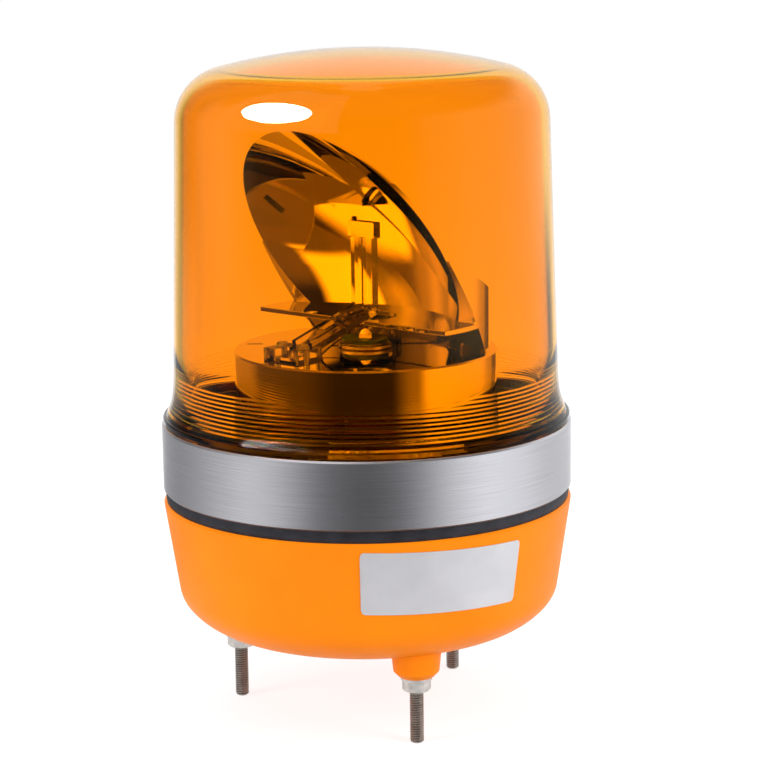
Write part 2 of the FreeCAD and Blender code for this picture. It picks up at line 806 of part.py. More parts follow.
def guide_post():
    """Two bars with a thin web between them, and the head with its knob."""
    back = -post_bar / 2
    head_z = post_foot_lift + post_h - head_h
    bar_h = head_z - post_foot_lift
    at = [Vector(back, low, post_foot_lift) for low in (-post_gap / 2 - post_bar, post_gap / 2)]
    bars = [Part.makeBox(post_bar, post_bar, bar_h, place) for place in at]
    web = Part.makeBox(post_web, post_gap, bar_h, Vector(back, -post_gap / 2, post_foot_lift))
    head = Part.makeBox(post_bar, head_w, head_h, Vector(back, -head_w / 2, head_z))
    knob = Part.makeSphere(head_knob_r, Vector(0, -head_w / 2 + head_knob_r, head_z + head_h))
    return bars + [web, head, knob]


def light_guide():
    depth, width, height = guide_foot
    front = guide_foot_front
    foot = box(Vector(front - depth, -width / 2, 0), Vector(front, width / 2, height))
    notch_low = Vector(front - depth / 2, -width / 6, height / 2)
    foot = foot.cut(box(notch_low, Vector(front + over, width / 6, height + over)))
    start = Vector(front - depth + 2 * sink, 0, height / 2)
    end = Vector(-post_bar / 2, 0, post_foot_lift)
    half = guide_arm_w / 2
    arm = plank(start, end, guide_arm_t, -half, guide_arm_w)
    ribs = [plank(start, end, guide_rib_h, low, guide_rib_t) for low in (-half, half - guide_rib_t)]
    body = fused([foot, arm] + ribs + guide_post())
    holes = [cylinder(guide_screw[0] + bolt_play, height + 2 * over, p) for p in guide_screw_places(-over)]
    body = body.cut(Part.makeCompound(holes))
    return spun(moved(body, Vector(0, 0, drum_top_z)), beam_angle)


def guide_screws():
    seats = guide_screw_places(drum_top_z + guide_foot[2])
    return spun(Part.makeCompound([screw(guide_screw, p) for p in seats]), beam_angle)


# ---- Lamp on the spindle ----
def lamp_board():
    return cylinder(lamp_board_r, lamp_board_t, Vector(0, 0, spindle_top_z))


def lamp_led():
    base = spindle_top_z + lamp_board_t
    half = led_side / 2
    body = box(Vector(-half, -half, base), Vector(half, half, base + led_t))
    dome = Part.makeSphere(led_dome_r, Vector(0, 0, base + led_t), UP, 0, 90)
    return fused([body, dome])


# ---- Electronics and cable entry ----
def control_board():
    length, width, thickness = board_size
    plate = Part.makeBox(length, width, thickness, Vector(-length / 2, board_y - width / 2, board_z))
    holes = [cylinder(board_screw[0] + bolt_play, thickness, p) for p in board_corners(board_z)]
    return plate.cut(Part.makeCompound(holes))


def board_screws():
    return Part.makeCompound([screw(board_screw, p) for p in board_corners(board_top_z)])


def terminal_block():
    length, depth, height = terminal_size
    low = Vector(terminal_x - length / 2, terminal_y - depth / 2, board_top_z)
    body = box(low, low + Vector(length, depth, height))
    pitch = length / terminal_ways
    for way in range(terminal_ways):
        mouth_at = low + Vector(pitch * (way + 0.5), 0, terminal_hole_lift)
        mouth = Part.makeCylinder(terminal_hole_r, depth / 2, mouth_at, Vector(0, 1, 0))
        well = cylinder(terminal_hole_r, height / 2, Vector(mouth_at.x, terminal_y, low.z + height / 2))
        body = body.cut(mouth).cut(well)
    return body


def capacitor():
    edge = capacitor_edge
    can = turned([(0, 0), (capacitor_r - edge, 0), (capacitor_r, edge), (capacitor_r, capacitor_h - edge),
                  (capacitor_r - edge, capacitor_h), (0, capacitor_h)])
    return moved(can, Vector(capacitor_x, board_y + terminal_inset, board_top_z))


def cable_grommet():
    low = floor_z - grommet_flange_t
    high = floor_z + floor_t + grommet_flange_t
    edge = grommet_edge
    return turned([(cable_r, low), (grommet_r - edge, low), (grommet_r, floor_z - edge), (grommet_r, floor_z),
                   (grommet_neck_r, floor_z), (grommet_neck_r, floor_z + floor_t),
                   (grommet_r, floor_z + floor_t), (grommet_r - edge, high), (cable_r, high)])


# ---- Globe ----
def globe_curves(inset):
    """Edges from the apex down to the lip, and the last point."""
    apex = globe_z + globe_h - inset
    sphere_r = crown_r - inset
    round_r = shoulder_r - inset
    centre_z = apex - sphere_r
    turn_x = globe_top_r - shoulder_r
    turn_z = centre_z + math.sqrt((sphere_r - round_r) ** 2 - turn_x ** 2)
    share = sphere_r / (sphere_r - round_r)
    join = (turn_x * share, centre_z + (turn_z - centre_z) * share)
    half_angle = math.asin(join[0] / sphere_r) / 2
    crown_mid = (sphere_r * math.sin(half_angle), centre_z + sphere_r * math.cos(half_angle))
    top_angle = math.atan2(turn_z - centre_z, turn_x)
    mid_angle = top_angle / 2
    round_mid = (turn_x + round_r * math.cos(mid_angle), turn_z + round_r * math.sin(mid_angle))
    wall_top = (globe_top_r - inset, turn_z)
    wall_low = (globe_low_r - inset, globe_z + flare_h)
    end = (flare_r - inset, globe_z + lip_h)
    middle = (wall_low[0] + flare_out * flare_bend, (wall_low[1] + end[1]) / 2)
    flare = arc(wall_low, middle, end)
    edges = [arc((0, apex), crown_mid, join), arc(join, round_mid, wall_top), line(wall_top, wall_low), flare]
    return edges, end, apex


def globe():
    outer, outer_end, apex = globe_curves(0)
    inner, inner_end, inner_apex = globe_curves(globe_wall)
    lip_top = (lip_r - lip_edge, globe_z + lip_h)
    lip_side = (lip_r, globe_z + lip_h - lip_edge)
    lip_low = (lip_r, globe_z + lip_edge)
    lip_base = (lip_r - lip_edge, globe_z)
    spigot_low = globe_z - spigot_h
    path = [outer_end, lip_top, lip_side, lip_low, lip_base, (spigot_r, globe_z), (spigot_r, spigot_low),
            (spigot_inner_r, spigot_low), (spigot_inner_r, globe_z), inner_end]
    walls = [line(a, b) for a, b in zip(path[:-1], path[1:])]
    shell = turned_wire(outer + walls + list(reversed(inner)) + [line((0, inner_apex), (0, apex))])
    lug_top = collar_top_z - track_h - lock_lift
    lug_inner = collar_r + lock_play
    lugs = [sector(spigot_inner_r + sink, lug_inner, lug_h, lug_top - lug_h, lug_start(i), lug_deg)
            for i in range(lug_count)]
    return fused([shell] + lugs)


# ---- Write every node ----
NODES = [
    mounting_studs, stud_washers, stud_nuts, base_housing, gasket, trim_ring, chassis, chassis_screws,
    spindle, retaining_clip, rotor_bush, rotor_drum, drum_gear, idler_gear, idler_axle, motor_pinion,
    motor_shaft, motor, motor_screws, reflector, reflector_screws, light_guide, guide_screws, lamp_board,
    lamp_led, control_board, board_screws, terminal_block, capacitor, cable_grommet, globe,
]

os.makedirs("parts", exist_ok=True)
for make in NODES:
    shape = make()
    shape.exportStep("parts/" + make.__name__ + ".step")
    print(make.__name__, len(shape.Solids), "solids", round(shape.Volume, 1), "mm3", shape.isValid())
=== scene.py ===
"""Rotating beacon: the looks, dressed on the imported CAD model. Metres, +Z up, front towards -Y."""

import json
import math

import bmesh
import bpy
from mathutils import Matrix, Vector


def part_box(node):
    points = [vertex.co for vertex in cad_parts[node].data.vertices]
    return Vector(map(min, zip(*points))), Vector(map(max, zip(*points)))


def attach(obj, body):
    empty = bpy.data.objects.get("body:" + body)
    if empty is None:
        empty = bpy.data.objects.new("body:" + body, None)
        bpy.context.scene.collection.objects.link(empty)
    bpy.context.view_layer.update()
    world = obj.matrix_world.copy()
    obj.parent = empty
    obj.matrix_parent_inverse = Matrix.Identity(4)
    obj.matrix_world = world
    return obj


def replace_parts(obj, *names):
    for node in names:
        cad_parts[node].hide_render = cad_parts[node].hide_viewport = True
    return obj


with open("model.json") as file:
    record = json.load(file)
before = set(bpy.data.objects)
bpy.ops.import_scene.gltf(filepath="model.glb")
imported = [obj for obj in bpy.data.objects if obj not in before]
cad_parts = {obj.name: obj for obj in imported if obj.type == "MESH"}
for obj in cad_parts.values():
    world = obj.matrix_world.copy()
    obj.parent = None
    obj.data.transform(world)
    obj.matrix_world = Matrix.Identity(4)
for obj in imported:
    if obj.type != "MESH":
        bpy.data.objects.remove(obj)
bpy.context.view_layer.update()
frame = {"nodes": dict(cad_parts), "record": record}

MM = 0.001
NODE = frame["nodes"]


# ---------------------------------------------------------------- sizes from the frame
def top(node):
    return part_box(node)[1].z


def bottom(node):
    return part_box(node)[0].z


RING_LOW = bottom("trim_ring")
RING_TOP = top("trim_ring")
APEX = top("globe")
STUD_TIP = bottom("mounting_studs")
DRUM_TOP = top("rotor_drum")
FLOOR_Z = STUD_TIP
WHITE = (1.0, 1.0, 1.0, 1.0)


# ---------------------------------------------------------------- camera
CAM_DISTANCE = 0.6885
CAM_PITCH = math.radians(11.236)
CAM_ROLL = math.radians(-0.754)
CAM_TARGET = Vector((0.00518, 0.0, RING_TOP + 0.00939))
CAM_LENS = 111.8
SENSOR = 36.0


def make_camera():
    data = bpy.data.cameras.new("camera")
    data.lens = CAM_LENS
    data.sensor_width = SENSOR
    data.clip_start = 0.01
    data.clip_end = 50.0
    back = Vector((0.0, -math.cos(CAM_PITCH), math.sin(CAM_PITCH)))
    right = Vector((1.0, 0.0, 0.0))
    up = right.cross(-back)
    rolled_right = right * math.cos(CAM_ROLL) + up * math.sin(CAM_ROLL)
    rolled_up = up * math.cos(CAM_ROLL) - right * math.sin(CAM_ROLL)
    turn = Matrix((rolled_right, rolled_up, back)).transposed().to_4x4()
    camera = bpy.data.objects.new("camera", data)
    camera.matrix_world = Matrix.Translation(CAM_TARGET + back * CAM_DISTANCE) @ turn
    bpy.context.scene.collection.objects.link(camera)
    bpy.context.scene.camera = camera


# ---------------------------------------------------------------- shader helpers
def arithmetic(nodes, links, operation, *values):
    """A Math node on numbers and sockets."""
    made = nodes.new("ShaderNodeMath")
    made.operation = operation
    for socket, value in zip(made.inputs, values):
        if isinstance(value, float):
            socket.default_value = value
        else:
            links.new(value, socket)
    return made.outputs[0]


def mixed_color(nodes, links, fac, first, second):
    """A colour between two, each a socket or a colour."""
    made = nodes.new("ShaderNodeMix")
    made.data_type = "RGBA"
    links.new(fac, made.inputs[0])
    for socket, value in zip(made.inputs[6:8], (first, second)):
        if isinstance(value, tuple):
            socket.default_value = value
        else:
            links.new(value, socket)
    return made.outputs[2]


def mixed_shader(nodes, links, fac, first, second):
    made = nodes.new("ShaderNodeMixShader")
    links.new(fac, made.inputs[0])
    links.new(first, made.inputs[1])
    links.new(second, made.inputs[2])
    return made.outputs[0]


def grey(level):
    return (level, level, level, 1.0)


# ---------------------------------------------------------------- materials
class Shade:
    """A material with a Principled shader, and short ways to add the nodes that vary it."""

    def __init__(self, name, color, roughness=0.4, metallic=0.0, **sockets):
        self.material = bpy.data.materials.new(name)
        self.material.use_nodes = True
        self.nodes = self.material.node_tree.nodes
        self.links = self.material.node_tree.links
        self.bsdf = self.nodes["Principled BSDF"]
        self.color = (*color, 1.0)
        self.bsdf.inputs["Base Color"].default_value = self.color
        self.bsdf.inputs["Roughness"].default_value = roughness
        self.bsdf.inputs["Metallic"].default_value = metallic
        for label, value in sockets.items():
            self.bsdf.inputs[label.replace("_", " ")].default_value = value
        self.place = self.nodes.new("ShaderNodeTexCoord").outputs["Object"]

    def node(self, kind, **values):
        made = self.nodes.new(kind)
        for label, value in values.items():
            if hasattr(made, label):
                setattr(made, label, value)
            else:
                made.inputs[label.replace("_", " ")].default_value = value
        return made

    def link(self, source, target):
        self.links.new(source, target)

    def math(self, operation, *values):
        return arithmetic(self.nodes, self.links, operation, *values)

    def split_place(self):
        split = self.node("ShaderNodeSeparateXYZ")
        self.link(self.place, split.inputs[0])
        return split.outputs

    def around(self, turns, rise):
        """Coordinates that run around Z and up it, for brushed and turned surfaces."""
        x, y, z = self.split_place()
        angle = self.math("ARCTAN2", y, x)
        joined = self.node("ShaderNodeCombineXYZ")
        self.link(self.math("MULTIPLY", angle, turns), joined.inputs["X"])
        self.link(self.math("MULTIPLY", z, rise), joined.inputs["Z"])
        return joined.outputs[0]

    def noise(self, scale, detail=3.0, place=None, rough=0.55):
        made = self.node("ShaderNodeTexNoise", Scale=scale, Detail=detail, Roughness=rough)
        self.link(place or self.place, made.inputs["Vector"])
        return made.outputs["Fac"]

    def vary_color(self, fac, dark, light, low=0.3, high=0.7):
        ramp = self.node("ShaderNodeValToRGB")
        ramp.color_ramp.elements[0].position = low
        ramp.color_ramp.elements[1].position = high
        ramp.color_ramp.elements[0].color = (*[c * dark for c in self.color[:3]], 1.0)
        ramp.color_ramp.elements[1].color = (*[min(1.0, c * light) for c in self.color[:3]], 1.0)
        self.link(fac, ramp.inputs["Fac"])
        self.link(ramp.outputs["Color"], self.bsdf.inputs["Base Color"])

    def vary_roughness(self, fac, low, high):
        spread = self.node("ShaderNodeMapRange")
        spread.inputs["To Min"].default_value = low
        spread.inputs["To Max"].default_value = high
        self.link(fac, spread.inputs["Value"])
        self.link(spread.outputs[0], self.bsdf.inputs["Roughness"])

    def bump(self, height, strength, distance):
        made = self.node("ShaderNodeBump", Strength=strength, Distance=distance)
        self.link(height, made.inputs["Height"])
        self.link(made.outputs[0], self.bsdf.inputs["Normal"])


def housing_orange():
    shade = Shade("housing_orange", (0.97, 0.24, 0.0008), 0.42, Specular_IOR_Level=0.13)
    shade.vary_color(shade.noise(45.0), 0.94, 1.05)
    shade.vary_roughness(shade.noise(160.0), 0.36, 0.5)
    shade.bump(shade.noise(2200.0, 2.0), 0.12, 0.00012)
    return shade.material


SKIRT_GLINT_HIDDEN_Z = 0.088         # painted shade: below here the globe's reflection is taken away, so the glint lamp's highlight does not show on the ribbed skirt
DOME_FOOT_Z = 0.102
GLINT_TINT = (1.0, 0.88, 0.65, 1.0)


def globe_orange():
    shade = Shade("globe_orange", (1.0, 0.50, 0.012), 0.03, Transmission_Weight=1.0, IOR=1.3)
    # painted shade: the reflection fades from full at the dome's foot to none on the ribbed skirt
    smooth = shade.node("ShaderNodeMapRange")
    smooth.inputs["From Min"].default_value = SKIRT_GLINT_HIDDEN_Z
    smooth.inputs["From Max"].default_value = DOME_FOOT_Z
    shade.link(shade.split_place()["Z"], smooth.inputs["Value"])
    tint = mixed_color(shade.nodes, shade.links, smooth.outputs[0], grey(0.0), GLINT_TINT)
    shade.link(tint, shade.bsdf.inputs["Specular Tint"])
    shade.vary_roughness(shade.noise(30.0), 0.015, 0.05)
    shade.bump(shade.noise(26.0, 1.0), 0.06, 0.0005)
    return shade.material


def band_metal():
    shade = Shade("band_metal", (0.62, 0.62, 0.66), 0.27, 1.0, Anisotropic=0.6)
    grain = shade.noise(1.0, 4.0, shade.around(2.4, 9000.0))
    broad = shade.noise(1.0, 2.0, shade.around(1.1, 90.0))
    shade.vary_color(grain, 0.82, 1.12, 0.25, 0.75)
    shade.vary_roughness(broad, 0.22, 0.32)
    shade.bump(grain, 0.25, 0.00006)
    tangent = shade.node("ShaderNodeTangent", direction_type="RADIAL", axis="Z")
    shade.link(tangent.outputs[0], shade.bsdf.inputs["Tangent"])
    return shade.material


def rubber_black():
    shade = Shade("rubber_black", (0.018, 0.018, 0.024), 0.55, Specular_IOR_Level=0.35)
    shade.vary_color(shade.noise(300.0), 0.7, 1.4)
    shade.bump(shade.noise(1500.0), 0.2, 0.00008)
    return shade.material


def steel(name, color, roughness):
    shade = Shade(name, color, roughness, 1.0)
    shade.vary_color(shade.noise(420.0), 0.72, 1.15)
    shade.vary_roughness(shade.noise(700.0), roughness - 0.08, roughness + 0.12)
    shade.bump(shade.noise(1800.0), 0.1, 0.00005)
    return shade.material


def mirror_plastic():
    shade = Shade("mirror_plastic", (0.95, 0.93, 0.90), 0.03, 1.0)
    shade.vary_roughness(shade.noise(60.0), 0.012, 0.05)
    shade.bump(shade.noise(55.0, 1.0), 0.05, 0.0006)
    return shade.material


def clear_plastic():
    shade = Shade("clear_plastic", (0.97, 0.95, 0.9), 0.02, Transmission_Weight=1.0, IOR=1.49)
    shade.vary_roughness(shade.noise(120.0), 0.01, 0.05)
    shade.bump(shade.noise(160.0, 1.0), 0.1, 0.0002)
    return shade.material


def moulded(name, color, roughness=0.5, grain=900.0):
    shade = Shade(name, color, roughness)
    shade.vary_color(shade.noise(120.0), 0.88, 1.1)
    shade.bump(shade.noise(grain), 0.12, 0.0001)
    return shade.material


def label_silver():
    shade = Shade("label_silver", (0.60, 0.60, 0.63), 0.42, 0.35)
    shade.vary_color(shade.noise(90.0), 0.95, 1.04)
    shade.bump(shade.noise(1200.0), 0.04, 0.00005)
    return shade.material


MATERIAL = {
    "housing_orange": housing_orange(),
    "globe_orange": globe_orange(),
    "band_metal": band_metal(),
    "rubber_black": rubber_black(),
    "steel_dark": steel("steel_dark", (0.36, 0.32, 0.29), 0.36),
    "steel_bright": steel("steel_bright", (0.62, 0.60, 0.57), 0.3),
    "mirror_plastic": mirror_plastic(),
    "plastic_clear": clear_plastic(),
    "plastic_black": moulded("plastic_black", (0.02, 0.02, 0.022)),
    "plastic_white": moulded("plastic_white", (0.78, 0.76, 0.70)),
    "bronze": steel("bronze", (0.55, 0.36, 0.16), 0.4),
    "board_green": moulded("board_green", (0.012, 0.045, 0.025), 0.35, 300.0),
    "led_white": moulded("led_white", (0.85, 0.80, 0.55), 0.2),
    "terminal_grey": moulded("terminal_grey", (0.35, 0.37, 0.38)),
    "can_aluminium": steel("can_aluminium", (0.72, 0.73, 0.75), 0.3),
    "label_silver": label_silver(),
}


# ---------------------------------------------------------------- mesh tools
def piece(name, vertices, faces, slot, body, smooth_deg=35.0):
    mesh = bpy.data.meshes.new(name)
    mesh.from_pydata(vertices, [], faces)
    mesh.validate()
    made = bpy.data.objects.new(name, mesh)
    bpy.context.scene.collection.objects.link(made)
    mesh.materials.append(MATERIAL[slot])
    work = bmesh.new()
    work.from_mesh(mesh)
    bmesh.ops.remove_doubles(work, verts=work.verts, dist=1e-7)
    bmesh.ops.recalc_face_normals(work, faces=work.faces)
    limit = math.radians(smooth_deg)
    for edge in work.edges:
        edge.smooth = len(edge.link_faces) == 2 and edge.calc_face_angle(0.0) < limit
    for face in work.faces:
        face.smooth = True
    work.to_mesh(mesh)
    work.free()
    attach(made, body)
    return made


def lathe(name, outline, segments, slot, body, smooth_deg=35.0):
    """Closed (radius, height) outline turned about Z. Points on the axis close to one vertex."""
    vertices = []
    rings = []
    for radius, height in outline:
        if radius < 1e-6:
            rings.append([len(vertices)] * segments)
            vertices.append((0.0, 0.0, height))
            continue
        rings.append(list(range(len(vertices), len(vertices) + segments)))
        for step in range(segments):
            angle = 2 * math.pi * step / segments
            vertices.append((radius * math.cos(angle), radius * math.sin(angle), height))
    faces = []
    for near, far in zip(rings, rings[1:] + rings[:1]):
        for step in range(segments):
            after = (step + 1) % segments
            corner = [near[step], near[after], far[after], far[step]]
            face = list(dict.fromkeys(corner))
            if len(face) > 2:
                faces.append(face)
    return piece(name, vertices, faces, slot, body, smooth_deg)


def curve_points(start, start_pull, end_pull, end, steps):
    """Points of a cubic through start and end, the end left out."""
    points = []
    for step in range(steps):
        t = step / steps
        weights = ((1 - t) ** 3, 3 * t * (1 - t) ** 2, 3 * t * t * (1 - t), t ** 3)
        corners = (start, start_pull, end_pull, end)
        points.append(tuple(sum(w * c[axis] for w, c in zip(weights, corners)) for axis in (0, 1)))
    return points


# ---------------------------------------------------------------- globe
GLOBE_WALL = 2.4 * MM
CROWN_R = 169.7 * MM
SHOULDER_R = 15.9 * MM
GLOBE_TOP_R = 53.1 * MM
GLOBE_LOW_R = 55.3 * MM
FLARE_H = 15.0 * MM
FLARE_R = 57.8 * MM
LIP_R = 58.6 * MM
LIP_H = 2.2 * MM
SPIGOT_R = 56.7 * MM
SPIGOT_H = 8.6 * MM
RIB_PITCH = 1.2 * MM
RIB_DEPTH = 0.15 * MM
BEAD_R = 0.45 * MM
SPIGOT_T = 2.2 * MM
CROWN_STEPS = 14
SHOULDER_STEPS = 18
WALL_STEPS = 10
FLARE_STEPS = 12
GLOBE_SEGMENTS = 160


def globe_side(inset):
    """Outline of the globe from the apex to the top of the lip."""
    sphere_r = CROWN_R - inset
    round_r = SHOULDER_R - inset
    apex = APEX - inset
    centre_z = apex - sphere_r
    turn_x = GLOBE_TOP_R - SHOULDER_R
    turn_z = centre_z + math.sqrt((sphere_r - round_r) ** 2 - turn_x ** 2)
    crown_end = math.atan2(turn_x, turn_z - centre_z)
    crown = []
    for i in range(CROWN_STEPS):
        angle = crown_end * i / CROWN_STEPS
        crown.append((sphere_r * math.sin(angle), centre_z + sphere_r * math.cos(angle)))
    shoulder = []
    for i in range(SHOULDER_STEPS):
        angle = (math.pi / 2 - crown_end) * (1 - i / SHOULDER_STEPS)
        shoulder.append((turn_x + round_r * math.cos(angle), turn_z + round_r * math.sin(angle)))
    wall_top = (GLOBE_TOP_R - inset, turn_z)
    wall_low = (GLOBE_LOW_R - inset, RING_TOP + FLARE_H)
    wall = [tuple(a + (b - a) * i / WALL_STEPS for a, b in zip(wall_top, wall_low))
            for i in range(WALL_STEPS)]
    slope = (GLOBE_LOW_R - GLOBE_TOP_R) / (turn_z - wall_low[1])
    end = (FLARE_R - inset, RING_TOP + LIP_H)
    pull = FLARE_H * 0.45
    flare = curve_points(wall_low, (wall_low[0] + slope * pull, wall_low[1] - pull),
                         (end[0] - 0.25 * pull, end[1] + 0.5 * pull), end, FLARE_STEPS)
    return crown + shoulder + wall + flare + [end]


def ribbed(side):
    """The inside outline with fine rings between the lip and the top of the flare."""
    smooth = [p for p in side if p[1] > RING_TOP + FLARE_H + RIB_PITCH / 2]
    lower = [p for p in side if p[1] <= RING_TOP + FLARE_H + RIB_PITCH / 2]

    def radius_at(height):
        for high, low in zip(lower, lower[1:]):
            if low[1] <= height <= high[1]:
                share = (height - low[1]) / (high[1] - low[1])
                return low[0] + (high[0] - low[0]) * share
        return lower[0][0]

    rings = []
    height = RING_TOP + FLARE_H
    while height > RING_TOP + LIP_H + RIB_PITCH:
        crest_r = radius_at(height) - RIB_DEPTH * 0.9
        foot = height - RIB_PITCH * 0.9
        rings += [(radius_at(height), height), (crest_r, height - RIB_PITCH * 0.35),
                  (crest_r, height - RIB_PITCH * 0.55), (radius_at(foot), foot)]
        height -= RIB_PITCH
    return smooth + rings + [lower[-1]]


def make_globe():
    outer = globe_side(0.0)
    inner = ribbed(globe_side(GLOBE_WALL))
    spigot_in = SPIGOT_R - SPIGOT_T
    path = [(LIP_R - BEAD_R, RING_TOP + LIP_H), (LIP_R, RING_TOP + LIP_H - BEAD_R),
            (LIP_R, RING_TOP + BEAD_R), (LIP_R - BEAD_R * 0.7, RING_TOP), (SPIGOT_R, RING_TOP),
            (SPIGOT_R, RING_TOP - SPIGOT_H), (spigot_in, RING_TOP - SPIGOT_H), (spigot_in, RING_TOP)]
    made = lathe("globe_shell", outer + path + list(reversed(inner)), GLOBE_SEGMENTS, "globe_orange",
                 "globe", 22.0)
    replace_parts(made, "globe")
    return made


# ---------------------------------------------------------------- studs with rolled threads
STUD_R = 2.0 * MM
STUD_CIRCLE_R = 39.0 * MM
STUD_ANGLE = 19.75
STUD_SINK = 4.5 * MM        # how far a stud reaches up from the foot of its nut
STUD_CHAMFER = 0.55 * MM
THREAD_PITCH = 0.7 * MM
THREAD_DEPTH = 0.36 * MM
THREAD_FLANK = 0.38         # share of the pitch from the groove's middle to the crest


def make_studs():
    """One threaded stud per foot: the radius follows the thread's flank around each turn."""
    around = 28
    rise = 8
    top_z = bottom("stud_nuts") + STUD_SINK
    levels = int((top_z - STUD_TIP) / (THREAD_PITCH / rise)) + 1
    for index in range(3):
        angle = math.radians(STUD_ANGLE - 90 + 120 * index)
        centre = Vector((STUD_CIRCLE_R * math.cos(angle), STUD_CIRCLE_R * math.sin(angle), 0))
        vertices = []
        for level in range(levels):
            height = STUD_TIP + (top_z - STUD_TIP) * level / (levels - 1)
            chamfer = max(0.0, STUD_CHAMFER - (height - STUD_TIP))
            for step in range(around):
                turn = step / around
                phase = (height / THREAD_PITCH - turn) % 1.0
                groove = max(0.0, 1.0 - abs(phase - 0.5) / THREAD_FLANK)
                radius = min(STUD_R - THREAD_DEPTH * groove, STUD_R - chamfer)
                vertices.append((centre.x + radius * math.cos(2 * math.pi * turn),
                                 centre.y + radius * math.sin(2 * math.pi * turn), height))
        faces = []
        for level in range(levels - 1):
            for step in range(around):
                after = (step + 1) % around
                low = level * around
                faces.append((low + step, low + after, low + around + after, low + around + step))
        faces.append(tuple(reversed(range(around))))
        faces.append(tuple(range((levels - 1) * around, levels * around)))
        made = piece("stud_%d" % (index + 1), vertices, faces, "steel_dark", "base", 50.0)
        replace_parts(made, "mounting_studs")


# ---------------------------------------------------------------- hood of the reflector
BEAM_ANGLE = -131.3
BEAM = Matrix.Translation((0, 0, DRUM_TOP)) @ Matrix.Rotation(math.radians(BEAM_ANGLE), 4, "Z")
FOCAL = 18.5 * MM
FOCUS_LIFT = 4.5 * MM
HOOD_T = 2.0 * MM
HOOD_R = 36.0 * MM
HOOD_H = 64.1 * MM
RIM_FOOT = -13.5 * MM
LEDGE_LIFT = 7.8 * MM
LEDGE_T = 1.4 * MM
LEDGE_FRONT = 7.0 * MM
LAMP_HOLE_R = 9.0 * MM
SKIRT_T = 1.4 * MM
SKIRT_BACK = 9.2 * MM
SKIRT_RISE = 0.45
FLANGE_T = 1.6 * MM
FOOT_T = 1.8 * MM
FOOT_DEPTH = 8.0 * MM
FOOT_WIDTH = 7.0 * MM
FOOT_ANGLES = (122, 180, 238)
MIRROR_STEPS = 96
SKIRT_STEPS = 120
BEVEL_FROM = 50             # degrees between faces from which an edge is rounded
RIM_LEAN = (((HOOD_H - FOCUS_LIFT) ** 2) / (4 * FOCAL) - FOCAL - RIM_FOOT) / HOOD_H


def sheet(name, front, back, slot, body, edge=0.25 * MM, place=BEAM):
    """Closed plate between two grids of points, with its edges rounded."""
    rows, columns = len(front), len(front[0])
    vertices = [tuple(place @ Vector(p)) for grid in (front, back) for row in grid for p in row]
    count = rows * columns
    faces = []
    for row in range(rows - 1):
        for column in range(columns - 1):
            a = row * columns + column
            quad = (a, a + 1, a + columns + 1, a + columns)
            faces.append(quad)
            faces.append(tuple(count + v for v in reversed(quad)))
    border = list(range(columns - 1))
    border += [r * columns + columns - 1 for r in range(rows - 1)]
    border += [(rows - 1) * columns + c for c in range(columns - 1, 0, -1)]
    border += [r * columns for r in range(rows - 1, 0, -1)]
    for a, b in zip(border, border[1:] + border[:1]):
        faces.append((b, a, count + a, count + b))
    made = piece(name, vertices, faces, slot, body, 40.0)
    if edge:
        bevel = made.modifiers.new("edge", "BEVEL")
        bevel.width = edge
        bevel.segments = 3
        bevel.limit_method = "ANGLE"
        bevel.angle_limit = math.radians(BEVEL_FROM)
        bevel.harden_normals = True
    return made


def rim_x(z):
    return RIM_FOOT + RIM_LEAN * z


def mirror_x(y, z):
    return (y * y + (z - FOCUS_LIFT) ** 2) / (4 * FOCAL) - FOCAL


def mirror_reach(z):
    """Half the mirror's width where the rim's plane cuts it."""
    return math.sqrt(max(0.0, 4 * FOCAL * (rim_x(z) + FOCAL) - (z - FOCUS_LIFT) ** 2))


def make_mirror():
    front, back = [], []
    for i in range(MIRROR_STEPS + 1):
        z = LEDGE_LIFT + (HOOD_H - LEDGE_LIFT) * math.sin(math.pi / 2 * i / MIRROR_STEPS)
        line = [mirror_reach(z) * (2 * j / MIRROR_STEPS - 1) for j in range(MIRROR_STEPS + 1)]
        front.append([(mirror_x(y, z), y, z) for y in line])
        back.append([(mirror_x(y, z) - HOOD_T, y, z) for y in line])
    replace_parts(sheet("hood_mirror", front, back, "mirror_plastic", "rotor"), "reflector")


def make_skirt():
    """Wall round the hood's foot, from one side of the rim's plane round the back to the other."""
    rise = 1 / RIM_LEAN - SKIRT_RISE
    reach = (SKIRT_BACK + SKIRT_RISE * (HOOD_R + MM) + RIM_FOOT / RIM_LEAN) / rise
    start = math.acos(reach / HOOD_R)
    outer, inner = [], []
    for share in (0.0, 1.0):
        rows = ([], [])
        for j in range(SKIRT_STEPS + 1):
            angle = start + (2 * math.pi - 2 * start) * j / SKIRT_STEPS
            x = HOOD_R * math.cos(angle)
            high = SKIRT_BACK + SKIRT_RISE * (x + HOOD_R + MM)
            low = max(0.0, (x - RIM_FOOT) / RIM_LEAN)
            z = low + (high - low) * share
            for row, radius in zip(rows, (HOOD_R, HOOD_R - SKIRT_T)):
                row.append((radius * math.cos(angle), radius * math.sin(angle), z))
        outer.append(rows[0])
        inner.append(rows[1])
    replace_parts(sheet("hood_skirt", outer, inner, "mirror_plastic", "rotor", 0.2 * MM), "reflector")
    return reach


def make_flanges(top_z):
    """Strips in the rim's plane between the mirror's edge and the skirt."""
    rows, columns = 30, 6
    for side, label in ((-1, "left"), (1, "right")):
        grids = []
        for back in (0.0, FLANGE_T):
            grid = []
            for i in range(rows + 1):
                z = top_z * i / rows
                x = rim_x(z) - back
                inner = mirror_reach(z)
                outer = math.sqrt(HOOD_R ** 2 - x * x)
                grid.append([(x, side * (inner + (outer - inner) * j / columns), z)
                             for j in range(columns + 1)])
            grids.append(grid)
        made = sheet("hood_flange_" + label, grids[0], grids[1], "mirror_plastic", "rotor", 0.2 * MM)
        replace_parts(made, "reflector")


